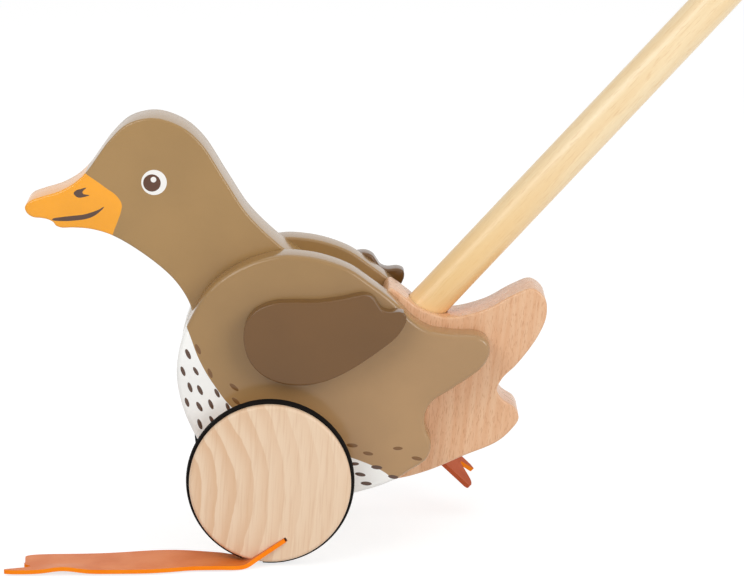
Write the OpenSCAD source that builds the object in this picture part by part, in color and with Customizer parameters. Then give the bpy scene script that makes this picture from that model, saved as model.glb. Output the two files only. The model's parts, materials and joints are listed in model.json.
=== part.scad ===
// Duck push toy. Flat wooden body plates carry an axle with rubber-tyred wheels,
// leather feet slotted into the wheels slap the floor as they turn, and a slanted
// stick with a ball knob pushes it along.
// The duck faces -X, +Z is up and +Y is its right side. The origin lies on the
// floor, under the middle of the axle. Body outlines are drawn from the axle.

/* [Body plates] */
// Thickness of the head and tail plates in the middle of the body
core_t = 22; // [18:0.5:28]
// Thickness of each side panel
panel_t = 13; // [11:0.5:15]
// Thickness of each wing
wing_t = 8; // [6:0.5:10]
// How much higher the right wing sits than the left one
right_wing_lift = 5; // [0:0.1:8]
// Rounding along every plate edge
edge_r = 1; // [0.5:0.1:1.5]

/* [Wheels] */
// Radius of the wooden wheel
wheel_r = 30.7; // [28:0.1:33]
// Thickness of a wheel
wheel_t = 10; // [9:0.5:14]
// Rounding of the wheel's rim corners
rim_round = 1.2; // [0.5:0.1:1.8]
// Thickness of the rubber tyre
tyre_t = 2; // [1.5:0.1:3]
// How far the tyre stands out of its groove
tyre_proud = 1.3; // [0.5:0.1:1.5]
// Wood left between the tyre and each face of the wheel
tyre_inset = 2.7; // [1.9:0.1:3]
// Opening in the tyre where the foot strap leaves the wheel
tyre_gap = 8; // [7:0.5:12]
// Diameter of the axle dowel
axle_d = 8; // [6:0.5:10]
// Depth of the axle's blind bore in each wheel
axle_seat = 7; // [5:0.5:8]
// Diameter of the spacers that hold the wheels out past the wings
spacer_d = 18; // [13:0.5:24]

/* [Feet] */
// Thickness of the leather
leather_t = 1.6; // [1.2:0.1:2]
// Length from the fold line to the longest toe
foot_len = 86; // [70:1:95]
// Width of the webbed foot across its toes
foot_w = 22; // [18:0.5:30]
// How far the strap stops short of the wheel's inner face
strap_inset = 1; // [0.5:0.1:3]
// Slope of the strap slot in the left wheel as it stands
slot_angle = 33; // [28:0.5:38]
// Depth of the slot's centre line below the rim, square to the slot
slot_sink = 9.4; // [8.5:0.1:11]
// Length of the slot from the rim inwards
slot_depth = 15.6; // [12:0.1:20]
// Angle by which a foot lifts from the floor line before it meets the rim
foot_fold = 38; // [34:1:42]

/* [Push stick] */
// Diameter of the push stick
stick_d = 15; // [12:0.5:17]
// Length of stick between the tail and the knob
stick_len = 540; // [420:5:560]
// Slope of the stick from level
stick_angle = 47.3; // [44:0.1:50]
// Depth of the stick's socket in the tail plate
socket_depth = 24; // [16:0.5:26]
// Diameter of the ball knob
knob_d = 40; // [32:1:50]
// Diameter of the flat on the knob where the stick goes in
knob_flat = 22; // [18:1:26]
// Depth of the knob's blind bore
knob_seat = 24; // [12:0.5:26]

/* [Dowels] */
// Diameter of the dowels that pin the panels to the head and tail
body_dowel_d = 6; // [5:0.5:8]
// Depth of those dowels in each side panel
body_dowel_seat = 6; // [4:0.5:7]
// Diameter of the dowels that pin the wings
wing_dowel_d = 5; // [4:0.5:6]
// Depth of those dowels in the panel and in the wing
wing_dowel_seat = 4.5; // [3:0.5:5]

/* [Clearances] */
// Radial running clearance of the axle in the panels
run_clear = 0.1; // [0.05:0.01:0.1]
// Radial glue space round dowels and the push stick
glue_clear = 0.05; // [0.02:0.01:0.1]
// Space left at the blind end of a glued bore
end_space = 0.5; // [0.2:0.1:1]
// Side play between a spacer and its panel
side_play = 0.3; // [0.2:0.1:0.6]
// How far the wheel stands out past the wing's face
wheel_gap = 0.5; // [0.3:0.1:2]
// Gap between the wing's face and the foot that passes it
wing_gap = 1; // [0.5:0.5:4]
// Gap between a folded foot and the tyre
rim_gap = 0.4; // [0.3:0.1:1]
// Gap between the strap's end and the foot's rounded root
fold_gap = 0.3; // [0.2:0.1:0.5]
// Gap at the inner end of the strap slot
slot_gap = 0.8; // [0.5:0.1:1.5]

/* [Hidden] */

// Fineness of true circles, of outline curves and of rounded edges
$fn = 64;
curve_steps = 4;
edge_steps = 2;
corner_steps = 4;

// Heights and side positions
tyre_r = wheel_r + tyre_proud;
axle_z = tyre_r;
panel_in = core_t / 2;
panel_out = panel_in + panel_t;
wing_out = panel_out + wing_t;
wheel_in = wing_out + wheel_gap;
wheel_out = wheel_in + wheel_t;
spacer_in = panel_out + side_play;
spacer_t = wheel_in - spacer_in;
tyre_w = wheel_t - 2 * tyre_inset;

// The strap slot is a chord of the wheel, and the leather bends where it meets the floor line
slot_offset = wheel_r - slot_sink;
slot_end = sqrt(wheel_r ^ 2 - slot_offset ^ 2) - slot_depth;
floor_line = tyre_r - leather_t / 2;
bend_along = (floor_line - slot_offset * cos(slot_angle)) / sin(slot_angle);
bend_x = bend_along * cos(slot_angle) - slot_offset * sin(slot_angle);
mouth_angle = slot_angle - 90 - acos(slot_offset / wheel_r);

// The fold line stands off the rim just enough for the foot to lift by foot_fold
fold_x = (tyre_r + rim_gap + leather_t / 2 - floor_line * cos(foot_fold)) / sin(foot_fold);
foot_in = wing_out + wing_gap;
strap_in = wheel_in + strap_inset;
strap_w = wheel_out - strap_in;

// Outlines in the XZ plane, in millimetres from the axle, each a smooth closed curve
head_outline = [
    [-93.5, 100.9], [-92.1, 103.5], [-87.3, 104.7], [-80.3, 106.9], [-74.5, 110.1], [-69.9, 114.3],
    [-65.8, 119.9], [-60.9, 126.5], [-53.8, 132.9], [-43.8, 135.1], [-33.3, 131.6], [-26, 125.2],
    [-16.7, 110.5], [-8.4, 97.7], [3.8, 85.7], [14.2, 78.2], [21, 68], [22, 54], [18, 36], [8, 22],
    [-6, 18], [-17, 25], [-24, 40], [-29.3, 57.8], [-32.2, 65.4], [-37.8, 73.4], [-48.9, 82.8],
    [-60.5, 89.8], [-68.4, 92.2], [-75.3, 92.8], [-79.9, 92.8], [-81.8, 93.6], [-82.9, 95],
    [-84.9, 96], [-87.3, 96.5], [-90.5, 96.9], [-92.7, 98.4]
];
tail_outline = [
    [42.6, 63.5], [44, 67.6], [45.8, 69.1], [48, 68], [52, 65], [57, 61.2], [67.5, 57.6], [82, 60.5],
    [93.2, 66.4], [100.3, 68.8], [105.1, 65], [105.8, 58.2], [102.7, 50.2], [94.7, 39.1], [88.9, 33.2],
    [87, 28.7], [89.6, 24.8], [94.1, 21.6], [95.4, 17.4], [92.4, 12.8], [87, 8.1], [74.2, 2.6],
    [60.2, -3.4], [48, -6.5], [40, -6], [32.5, 2], [29, 18], [28.5, 34], [31.5, 46], [38, 57]
];
panel_outline = [
    [-35.5, 43.5], [-32, 56.4], [-22, 72.5], [-9, 81], [4, 84.5], [13, 83.8], [21, 82.2], [30.5, 78.5],
    [38.4, 73.4], [46.4, 67.2], [54.6, 58.7], [61, 55], [70, 53.5], [79.3, 52.9], [82.9, 50.4],
    [83.5, 46.3], [80.8, 40.9], [68.5, 31.9], [61.6, 27.2], [59, 22], [59.3, 16.6], [61.3, 11],
    [59.8, 5], [53.4, 0.3], [46, -4.2], [30, -9.2], [11, -11.9], [-9, -6.6], [-22, 4.4], [-30.7, 20.2],
    [-34.9, 33.6]
];
wing_outline = [
    [-9.9, 54], [-8.9, 60.2], [-5.2, 64.8], [1, 67.5], [9, 68.1], [18, 68.1], [26, 69.2], [35, 70.7],
    [37.8, 69.4], [39.4, 67.2], [41, 65], [43.6, 64.1], [48.8, 64.2], [50.9, 63.2], [51.3, 60.8],
    [48.1, 54.8], [41.7, 49.5], [34, 44.1], [26.6, 39.8], [19, 36.9], [11, 35.9], [3.5, 36.9],
    [-3.8, 40.6], [-8.3, 46.6]
];

// Outline of the webbed foot from its inner to its outer edge: along from the fold line
// and across from the inner edge, as shares of the foot's length and width
foot_outline = [
    [0.24, 0], [0.7, -0.01], [0.86, 0.03], [0.92, 0.12], [0.928, 0.3], [0.922, 0.6], [0.89, 0.77],
    [0.97, 0.89], [1, 0.95], [0.975, 1], [0.82, 0.98], [0.58, 0.93], [0.36, 0.82], [0.2, 0.72],
    [0.07, 0.65]
];

// Centres of the dowels, in millimetres from the axle
head_dowels = [[-13, 60], [7, 36]];
tail_dowels = [[46, 10], [64, 38]];
wing_dowel_places = [[2, 53], [31, 56]];

// Where the middle of the push stick comes out of the tail's top edge
stick_mouth = [59.8, 60];

// Point at share s of the curve piece from b to c, between neighbours a and d,
// on a centripetal Catmull-Rom spline
function mix(a, b, from, to, s) = ((to - s) * a + (s - from) * b) / (to - from);
function spline_point(a, b, c, d, share) =
    let (
        ta = 0,
        tb = ta + sqrt(norm(b - a)),
        tc = tb + sqrt(norm(c - b)),
        td = tc + sqrt(norm(d - c)),
        s = tb + share * (tc - tb),
        ab = mix(a, b, ta, tb, s),
        bc = mix(b, c, tb, tc, s),
        cd = mix(c, d, tc, td, s)
    )
    mix(mix(ab, bc, ta, tc, s), mix(bc, cd, tb, td, s), tb, tc, s);

// Neighbour i of a list of points, which wraps round on a closed curve and runs
// straight on past the ends of an open one
function neighbour(p, i, closed) =
    let (n = len(p))
    closed ? p[(i + n) % n] :
    i < 0 ? 2 * p[0] - p[1] :
    i >= n ? 2 * p[n - 1] - p[n - 2] :
    p[i];

// Smooth curve through every point of a list
function smooth(p, closed = true) =
    let (n = len(p), last = closed ? n - 1 : n - 2)
    concat(
        [
            for (i = [0 : last], k = [0 : curve_steps - 1])
                spline_point(
                    neighbour(p, i - 1, closed), p[i],
                    neighbour(p, i + 1, closed), neighbour(p, i + 2, closed),
                    k / curve_steps
                )
        ],
        closed ? [] : [p[n - 1]]
    );

// A clockwise closed curve moved inwards by a distance
function inset(p, by) =
    let (n = len(p))
    [
        for (i = [0 : n - 1])
            let (along = p[(i + 1) % n] - p[(i + n - 1) % n])
            p[i] + by * [along.y, -along.x] / norm(along)
    ];

// Twice the area of a triangle, below zero where it runs clockwise
function turn(a, b, c) = (b.x - a.x) * (c.y - a.y) - (b.y - a.y) * (c.x - a.x);

// Whether corner i of those left can be cut off: it is convex, and its triangle holds no other corner
function is_ear(p, left, i) =
    let (n = len(left), ends = [left[(i + n - 1) % n], left[i], left[(i + 1) % n]])
    let (a = p[ends[0]], b = p[ends[1]], c = p[ends[2]])
    turn(a, b, c) < 0 && [] == [
        for (k = left)
            if (k != ends[0] && k != ends[1] && k != ends[2])
                if (turn(a, b, p[k]) <= 0 && turn(b, c, p[k]) <= 0 && turn(c, a, p[k]) <= 0) k
    ];
function next_ear(p, left, i) = i == len(left) - 1 || is_ear(p, left, i) ? i : next_ear(p, left, i + 1);

// Triangles that fill a clockwise polygon, cut off corner by corner, so that they
// stay inside it however deep its bays are
function fill(p, left) =
    let (n = len(left))
    n == 3 ? [left] :
    let (i = next_ear(p, left, 0))
    concat(
        [[left[(i + n - 1) % n], left[i], left[(i + 1) % n]]],
        fill(p, [for (k = [0 : n - 1]) if (k != i) left[k]])
    );

// A flat plate of thickness t with rounded edges, standing on z = 0: rings of the
// outline, moved in along a quarter circle at both faces
module rounded_plate(outline, t) {
    curve = smooth(outline);
    n = len(curve);
    quarter = [for (k = [0 : edge_steps]) 90 * k / edge_steps];
    lower = [for (a = quarter) [edge_r * (1 - sin(a)), edge_r * (1 - cos(a))]];
    upper = [for (k = [edge_steps : -1 : 0]) [lower[k].x, t - lower[k].y]];
    levels = concat(lower, upper);
    rings = len(levels);
    points = [for (l = levels) each [for (q = inset(curve, l.x)) [q.x, q.y, l.y]]];
    sides = [
        for (r = [0 : rings - 2], i = [0 : n - 1])
            let (j = (i + 1) % n, a = r * n)
            each [[a + i, a + j, a + n + j], [a + i, a + n + j, a + n + i]]
    ];
    face = fill(inset(curve, edge_r), [for (i = [0 : n - 1]) i]);
    floor_face = [for (f = face) [f[2], f[1], f[0]]];
    roof_face = [for (f = face) [for (i = f) (rings - 1) * n + i]];
    polyhedron(points, concat(floor_face, sides, roof_face), convexity = 6);
}

// Puts children drawn in the outline plane at the axle, with depth running to the left side
module in_profile(depth = 0) {
    translate([0, 0, axle_z]) rotate([90, 0, 0]) translate([0, 0, depth]) children();
}

// The right side's copy of a left piece that is drawn the same way up
module to_right_side() {
    mirror([0, 1, 0]) children();
}

// The right wheel carries its foot half a turn away from the left one
module half_turn_right() {
    mirror([0, 1, 0])
        translate([0, 0, axle_z])
            rotate([0, 180, 0])
                translate([0, 0, -axle_z])
                    children();
}

// Round holes for glued dowels, drilled in the outline plane
module dowel_holes(places, d, depth, length) {
    for (p = places)
        in_profile(depth) translate([p.x, p.y, 0]) cylinder(d = d + 2 * glue_clear, h = length);
}

// Places children along the push stick, with z = 0 at the tail's top edge
module along_stick() {
    translate([stick_mouth.x, 0, axle_z + stick_mouth.y]) rotate([0, 90 - stick_angle, 0]) children();
}

module head_plate() {
    color("rosybrown")
        difference() {
            in_profile(-panel_in) rounded_plate(head_outline, core_t);
            dowel_holes(head_dowels, body_dowel_d, -core_t, 2 * core_t);
        }
}

module tail_plate() {
    color("burlywood")
        difference() {
            in_profile(-panel_in) rounded_plate(tail_outline, core_t);
            dowel_holes(tail_dowels, body_dowel_d, -core_t, 2 * core_t);
            along_stick()
                translate([0, 0, -socket_depth])
                    cylinder(d = stick_d + 2 * glue_clear, h = socket_depth + stick_d);
        }
}

// A side panel as drawn on the left, with the holes of its wing lifted
module side_panel(lift) {
    color("rosybrown")
        difference() {
            in_profile(panel_in) rounded_plate(panel_outline, panel_t);
            in_profile(0) cylinder(d = axle_d + 2 * run_clear, h = wing_out);
            dowel_holes(
                concat(head_dowels, tail_dowels), body_dowel_d,
                0, panel_in + body_dowel_seat + end_space
            );
            translate([0, 0, lift])
                dowel_holes(
                    wing_dowel_places, wing_dowel_d,
                    panel_out - wing_dowel_seat - end_space, panel_t
                );
        }
}

module left_side_panel() {
    side_panel(0);
}

module right_side_panel() {
    to_right_side() side_panel(right_wing_lift);
}

module left_wing() {
    color("saddlebrown")
        difference() {
            in_profile(panel_out) rounded_plate(wing_outline, wing_t);
            dowel_holes(wing_dowel_places, wing_dowel_d, panel_in, panel_t + wing_dowel_seat + end_space);
        }
}

module right_wing() {
    to_right_side() translate([0, 0, right_wing_lift]) left_wing();
}

// Quarter circle that rounds the corner between a face and a rim, from the corner's own place
function round_corner(r) =
    [for (k = [0 : corner_steps]) let (a = 90 * k / corner_steps) r * [sin(a) - 1, 1 - cos(a)]];

// Half section of a wheel: radius across, thickness up, with a groove for the tyre
module wheel_section() {
    groove_top = wheel_t - tyre_inset;
    groove_r = tyre_r - tyre_t;
    corner = round_corner(rim_round);
    polygon(concat(
        [[0, 0]],
        [for (c = corner) [wheel_r + c.x, c.y]],
        [
            [wheel_r, groove_top - tyre_w], [groove_r, groove_top - tyre_w],
            [groove_r, groove_top], [wheel_r, groove_top]
        ],
        [for (k = [corner_steps : -1 : 0]) [wheel_r + corner[k].x, wheel_t - corner[k].y]],
        [[0, wheel_t]]
    ));
}

// Places children in the plane of the strap slot: x outwards from the slot's mouth is negative
module in_slot() {
    translate([0, 0, axle_z]) rotate([0, -slot_angle, 0]) translate([0, 0, -slot_offset]) children();
}

module left_wheel() {
    slot_w = leather_t + 2 * glue_clear;
    color("navajowhite")
        difference() {
            in_profile(wheel_in) rotate_extrude($fn = 128) wheel_section();
            in_profile(0) cylinder(d = axle_d + 2 * glue_clear, h = wheel_in + axle_seat);
            in_slot()
                translate([-2 * wheel_r, -2 * wheel_out, -slot_w / 2])
                    cube([2 * wheel_r - slot_end, 2 * wheel_out, slot_w]);
        }
}

module right_wheel() {
    half_turn_right() left_wheel();
}

// Rubber ring in the rim groove, round-shouldered, and open where the strap comes out
module left_tyre() {
    gap_turn = tyre_gap / wheel_r * 180 / PI;
    inner = tyre_r - tyre_t;
    shoulder = round_corner(min(tyre_proud, tyre_w / 3));
    color("dimgray")
        in_profile(wheel_out - tyre_inset - tyre_w)
            rotate([0, 0, mouth_angle + gap_turn / 2])
                rotate_extrude(angle = 360 - gap_turn, $fn = 128)
                    polygon(concat(
                        [[inner, 0]],
                        [for (c = shoulder) [tyre_r + c.x, c.y]],
                        [for (k = [corner_steps : -1 : 0]) [tyre_r + shoulder[k].x, tyre_w - shoulder[k].y]],
                        [[inner, tyre_w]]
                    ));
}

module right_tyre() {
    half_turn_right() left_tyre();
}

module axle() {
    half = wheel_in + axle_seat - end_space;
    color("tan")
        in_profile(-half) cylinder(d = axle_d, h = 2 * half);
}

module left_spacer() {
    color("wheat")
        in_profile(spacer_in)
            difference() {
                cylinder(d = spacer_d, h = spacer_t);
                translate([0, 0, -spacer_t]) cylinder(d = axle_d + 2 * glue_clear, h = 3 * spacer_t);
            }
}

module right_spacer() {
    to_right_side() left_spacer();
}

// Side outline of the glued end of the leather: along the slot, round the bend and
// on to the fold line, half the leather's thickness to each side
function strap_side() =
    let (
        half = leather_t / 2,
        along = [cos(slot_angle), sin(slot_angle)],
        square = [-sin(slot_angle), cos(slot_angle)],
        inner_end = -slot_offset * square - (slot_end + slot_gap) * along,
        bend = [-bend_x, -floor_line],
        lip = [half + fold_gap - fold_x, -floor_line],
        crease = half / cos(slot_angle / 2)
    )
    concat(
        [inner_end + half * square, inner_end - half * square],
        [
            for (k = [0 : corner_steps])
                let (a = slot_angle * (1 - k / corner_steps) - 90)
                bend + half * [cos(a), sin(a)]
        ],
        [lip - [0, half], lip + [0, half]],
        [bend + crease * [-sin(slot_angle / 2), cos(slot_angle / 2)]]
    );

module left_foot_strap() {
    color("darkorange")
        in_profile(strap_in) linear_extrude(strap_w) polygon(strap_side());
}

module right_foot_strap() {
    half_turn_right() left_foot_strap();
}

// The webbed foot, flat on the floor, with a rounded root on the fold line
module webbed_foot() {
    edge = [for (q = foot_outline) [-q.x * foot_len, -foot_in - q.y * foot_w]];
    whole = concat([[0, -strap_in]], edge, [[0, -wheel_out]]);
    union() {
        translate([-fold_x, 0, 0]) linear_extrude(leather_t) polygon(smooth(whole, closed = false));
        translate([-fold_x, -strap_in, leather_t / 2])
            rotate([90, 0, 0]) cylinder(d = leather_t, h = strap_w);
    }
}

module left_foot() {
    color("sandybrown") webbed_foot();
}

// The right foot hangs over its wheel, folded until it meets the rim
module right_foot() {
    color("sandybrown")
        half_turn_right()
            translate([-fold_x, 0, leather_t / 2])
                rotate([0, foot_fold, 0])
                    translate([fold_x, 0, -leather_t / 2])
                        webbed_foot();
}

module push_stick() {
    color("moccasin")
        along_stick()
            translate([0, 0, end_space - socket_depth])
                cylinder(d = stick_d, h = socket_depth - end_space + stick_len + knob_seat);
}

// Turned ball with a flat and a blind bore for the stick
module knob() {
    rise = sqrt(knob_d ^ 2 - knob_flat ^ 2) / 2;
    color("burlywood")
        along_stick()
            translate([0, 0, stick_len])
                difference() {
                    translate([0, 0, rise]) sphere(d = knob_d);
                    translate([-knob_d, -knob_d, -knob_d]) cube([2 * knob_d, 2 * knob_d, knob_d]);
                    translate([0, 0, -knob_d])
                        cylinder(d = stick_d + 2 * glue_clear, h = knob_d + knob_seat + end_space);
                }
}

module body_dowels() {
    color("tan")
        for (p = concat(head_dowels, tail_dowels))
            in_profile(-panel_in - body_dowel_seat)
                translate([p.x, p.y, 0]) cylinder(d = body_dowel_d, h = core_t + 2 * body_dowel_seat);
}

module left_wing_dowels() {
    for (p = wing_dowel_places)
        in_profile(panel_out - wing_dowel_seat)
            translate([p.x, p.y, 0]) cylinder(d = wing_dowel_d, h = 2 * wing_dowel_seat);
}

module wing_dowels() {
    color("tan") {
        left_wing_dowels();
        to_right_side() translate([0, 0, right_wing_lift]) left_wing_dowels();
    }
}

head_plate();
tail_plate();
left_side_panel();
right_side_panel();
left_wing();
right_wing();
left_wheel();
right_wheel();
left_tyre();
right_tyre();
axle();
left_spacer();
right_spacer();
left_foot_strap();
right_foot_strap();
left_foot();
right_foot();
push_stick();
knob();
body_dowels();
wing_dowels();
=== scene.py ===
# %% [markdown]
# # A wooden duck on a stick
# The toy is a flat duck cut from wooden plates. It rolls on two wheels, its leather feet slap the
# floor, and a slanted stick pushes it. The imported solids are the fixed frame of this lesson: every
# piece made here takes its place from them and is drawn in millimetres, and all but the feet ride on
# one of their bodies.

# %% Load the frame
import json

import bmesh
import bpy
import numpy as np
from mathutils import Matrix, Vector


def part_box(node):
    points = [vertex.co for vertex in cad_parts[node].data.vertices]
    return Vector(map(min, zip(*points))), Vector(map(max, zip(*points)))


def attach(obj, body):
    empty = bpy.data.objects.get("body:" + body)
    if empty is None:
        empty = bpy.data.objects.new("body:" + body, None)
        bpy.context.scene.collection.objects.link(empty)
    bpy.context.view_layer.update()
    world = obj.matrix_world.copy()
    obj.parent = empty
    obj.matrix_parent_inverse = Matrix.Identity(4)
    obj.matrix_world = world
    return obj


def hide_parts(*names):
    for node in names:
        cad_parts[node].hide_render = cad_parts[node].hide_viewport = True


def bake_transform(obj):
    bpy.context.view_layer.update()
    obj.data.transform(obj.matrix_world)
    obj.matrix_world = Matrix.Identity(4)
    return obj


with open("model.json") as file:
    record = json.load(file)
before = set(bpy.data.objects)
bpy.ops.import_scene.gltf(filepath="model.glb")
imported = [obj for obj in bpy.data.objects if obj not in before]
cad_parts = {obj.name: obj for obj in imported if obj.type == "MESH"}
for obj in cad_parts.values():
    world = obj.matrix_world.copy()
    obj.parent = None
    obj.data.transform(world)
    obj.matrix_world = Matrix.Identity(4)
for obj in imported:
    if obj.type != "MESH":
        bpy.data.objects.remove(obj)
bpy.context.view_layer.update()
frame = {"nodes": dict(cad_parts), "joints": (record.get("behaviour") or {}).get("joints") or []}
MM = 0.001

# %% [markdown]
# ## Sizes that come from the solids
# Thicknesses, radii and heights are read from the boxes of the imported nodes, so new solids move
# every piece below with them. The outlines, the rounded edges and a few sizes that no box shows, such
# as those of the wheel's slot, are given here.

# %% Read the sizes
def corners(node):
    """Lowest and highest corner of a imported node, in millimetres."""
    low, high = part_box(node)
    return np.array(low) / MM, np.array(high) / MM


CORE = corners("head_plate")[1][1]
PANEL_IN, PANEL_OUT = -corners("left_side_panel")[1][1], -corners("left_side_panel")[0][1]
WING_OUT = -corners("left_wing")[0][1]
WHEEL_IN, WHEEL_OUT = -corners("left_wheel")[1][1], -corners("left_wheel")[0][1]
STRAP_IN = -corners("left_foot_strap")[1][1]
AXLE_Z = float(np.mean([corner[2] for corner in corners("axle")]))
WHEEL_R = float(corners("left_wheel")[1][2]) - AXLE_Z
TYRE_R = AXLE_Z
for label, size in (("axle height", AXLE_Z), ("wheel radius", WHEEL_R), ("wheel face", WHEEL_OUT)):
    print(label, round(float(size), 2))

# %% [markdown]
# ## The camera
# The picture was taken with a long lens a little above the toy, almost square to its side. The focal
# length, tilt and distance were worked out from how the plates' top edges and the wheel's far rim
# show. One known point, the middle of the near wheel's face, then fixes where the camera stands.

# %% Camera
IMAGE_SIZE = np.array([744.0, 578.0])
FOCAL_PX = 3457.0
TILT, TURN = np.radians(12.2), np.radians(0.35)
VIEW_DISTANCE = 1335.0
HUB_PIXEL = np.array([269.96, 484.66])
SENSOR = 36.0
FAR_CLIP = 50

view_line = np.array([np.sin(TURN) * np.cos(TILT), np.cos(TURN) * np.cos(TILT), -np.sin(TILT)])
view_right = np.array([np.cos(TURN), -np.sin(TURN), 0.0])
view_up = np.cross(view_right, view_line)
off_centre = (HUB_PIXEL - IMAGE_SIZE / 2) / FOCAL_PX
hub_ray = view_line + off_centre[0] * view_right - off_centre[1] * view_up
hub = np.array([0.0, -WHEEL_OUT, AXLE_Z])
camera_place = hub - hub_ray * (hub[1] + VIEW_DISTANCE * view_line[1]) / hub_ray[1]

camera_data = bpy.data.cameras.new("camera")
camera_data.sensor_width = SENSOR
camera_data.lens = FOCAL_PX / IMAGE_SIZE[0] * SENSOR
camera_data.clip_end = FAR_CLIP
camera = bpy.data.objects.new("camera", camera_data)
camera.location = camera_place * MM
camera.rotation_euler = (np.pi / 2 - TILT, 0, -TURN)
bpy.context.scene.collection.objects.link(camera)
bpy.context.scene.camera = camera
print("camera at", np.round(camera_place, 1).tolist(), "lens", round(camera_data.lens, 1))

# %% [markdown]
# ## Shader nodes in one line each
# A material is a small graph. One helper adds a node, sets its options and fills or links its
# sockets, so that each finish below reads like a recipe. Colours are written as on a screen, from 0
# to 255, and turned into the linear values that Blender works with.

# %% Node helpers
def colour(red, green, blue):
    """Screen colour from 0 to 255 as linear red, green, blue and full cover.

    Near black the linear value is a fixed share of the screen's, and above that a power of it.
    """
    share = np.array([red, green, blue]) / 255
    linear = np.where(share <= 0.04045, share / 12.92, ((share + 0.055) / 1.055) ** 2.4)
    return (*linear.tolist(), 1.0)


def node(tree, kind, inputs=(), **options):
    """Adds a shader node, sets its options, and fills or links its input sockets."""
    made = tree.nodes.new("ShaderNode" + kind)
    for key, value in options.items():
        setattr(made, key, value)
    for key, value in dict(inputs).items():
        if isinstance(value, bpy.types.NodeSocket):
            tree.links.new(value, made.inputs[key])
        else:
            made.inputs[key].default_value = value
    return made


def math_node(tree, operation, *values):
    """Output of one Math node."""
    return node(tree, "Math", enumerate(values), operation=operation).outputs[0]


FIRST_COLOUR, SECOND_COLOUR, MIXED_COLOUR = 6, 7, 2


def mix_colour(tree, share, first, second, blend="MIX"):
    """Output of a colour mix: the first at share 0 and the second at share 1."""
    inputs = {"Factor": share, FIRST_COLOUR: first, SECOND_COLOUR: second}
    return node(tree, "Mix", inputs, data_type="RGBA", blend_type=blend).outputs[MIXED_COLOUR]


def spread(tree, value, low, high, to_low=0.0, to_high=1.0):
    """A value carried smoothly from one range to another and held at its ends."""
    inputs = {"Value": value, "From Min": low, "From Max": high, "To Min": to_low, "To Max": to_high}
    return node(tree, "MapRange", inputs, interpolation_type="SMOOTHSTEP").outputs["Result"]


def grain_place(tree, size, turn=(0, 0, 0), middle=(0, 0, 0)):
    """Object coordinates counted in cells of the given size, round a middle and turned."""
    place = node(tree, "TexCoord").outputs["Object"]
    inputs = {"Vector": place, "Location": middle, "Rotation": turn, "Scale": size}
    return node(tree, "Mapping", inputs, vector_type="TEXTURE").outputs["Vector"]


def noise(tree, place, detail):
    """Cloudy values around one half, one cloud to a cell."""
    inputs = {"Vector": place, "Scale": 1.0, "Detail": detail}
    return node(tree, "TexNoise", inputs).outputs["Fac"]


def new_finish(name):
    """A new material: its node tree and its main shader."""
    material = bpy.data.materials.new(name)
    material.use_nodes = True
    return material, material.node_tree, material.node_tree.nodes["Principled BSDF"]


def raise_surface(tree, shader, height, depth_mm, strength):
    """Bump on a shader from a height between 0 and 1, as deep as given."""
    inputs = {"Height": height, "Distance": depth_mm * MM, "Strength": strength}
    tree.links.new(node(tree, "Bump", inputs).outputs["Normal"], shader.inputs["Normal"])


# %% [markdown]
# ## The studio
# A large pale floor, white behind, and three soft lamps. Seen straight on or in a reflection, floor
# and world are white, and the floor still carries the toy's soft shadow.

# %% Floor
FLOOR_HALF = 6.0
FLOOR_DROP = 0.0004
FLOOR_COLOUR = colour(236, 236, 236)
FLOOR_GLOW, GLOW_SHARE = 0.5, 0.5
WHITE = (1, 1, 1, 1)


def seen_rays(tree):
    """1 for the camera's rays, straight or by way of a reflection or glass, and 0 for all others."""
    path = node(tree, "LightPath").outputs
    seen = math_node(tree, "MAXIMUM", path["Is Camera Ray"], path["Is Glossy Ray"])
    return math_node(tree, "MAXIMUM", seen, path["Is Transmission Ray"])


floor_mesh = bpy.data.meshes.new("floor")
square = (np.array([(-1, -1), (1, -1), (1, 1), (-1, 1)]) * FLOOR_HALF).tolist()
floor_mesh.from_pydata([(x, y, -FLOOR_DROP) for x, y in square], [], [(0, 1, 2, 3)])
floor = bpy.data.objects.new("floor", floor_mesh)
bpy.context.scene.collection.objects.link(floor)

floor_finish, tree, shader = new_finish("studio_floor")
shader.inputs["Base Color"].default_value = FLOOR_COLOUR
shader.inputs["Roughness"].default_value = 1.0
shader.inputs["Specular IOR Level"].default_value = 0.0
glow = node(tree, "Emission", {"Color": WHITE, "Strength": FLOOR_GLOW}).outputs[0]
lit = node(tree, "BsdfDiffuse", {"Color": FLOOR_COLOUR}).outputs[0]
half_glow = node(tree, "MixShader", {0: GLOW_SHARE, 1: lit, 2: glow}).outputs[0]
bright = node(tree, "AddShader", {0: half_glow, 1: glow}).outputs[0]
by_ray = {0: seen_rays(tree), 1: shader.outputs[0], 2: bright}
floor_shader = node(tree, "MixShader", by_ray).outputs[0]
tree.links.new(floor_shader, tree.nodes["Material Output"].inputs["Surface"])
floor_mesh.materials.append(floor_finish)
print("floor", 2 * FLOOR_HALF, "m wide")

# %% [markdown]
# The world lights the toy weakly from everywhere, and the lamps add their soft light from both sides
# and from above. They are set so that a colour comes out about as it is written.

# %% World and lamps
WORLD_LIGHT = 0.46
LAMP_AIM = (0, 0, 0.08)
LAMPS = {  # place and size in metres, power in watts
    "key_lamp": ((-1.1, -1.5, 1.5), 1.3, 15.5),
    "fill_lamp": ((1.5, -1.4, 0.9), 1.2, 17),
    "top_lamp": ((0.1, 0.5, 1.9), 1.4, 4),
}

world = bpy.data.worlds.new("studio")
world.use_nodes = True
bpy.context.scene.world = world
tree = world.node_tree
levels = {"Value": seen_rays(tree), "To Min": WORLD_LIGHT, "To Max": 1.0}
strength = node(tree, "MapRange", levels).outputs[0]
tree.links.new(strength, tree.nodes["Background"].inputs["Strength"])
tree.nodes["Background"].inputs["Color"].default_value = WHITE


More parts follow.
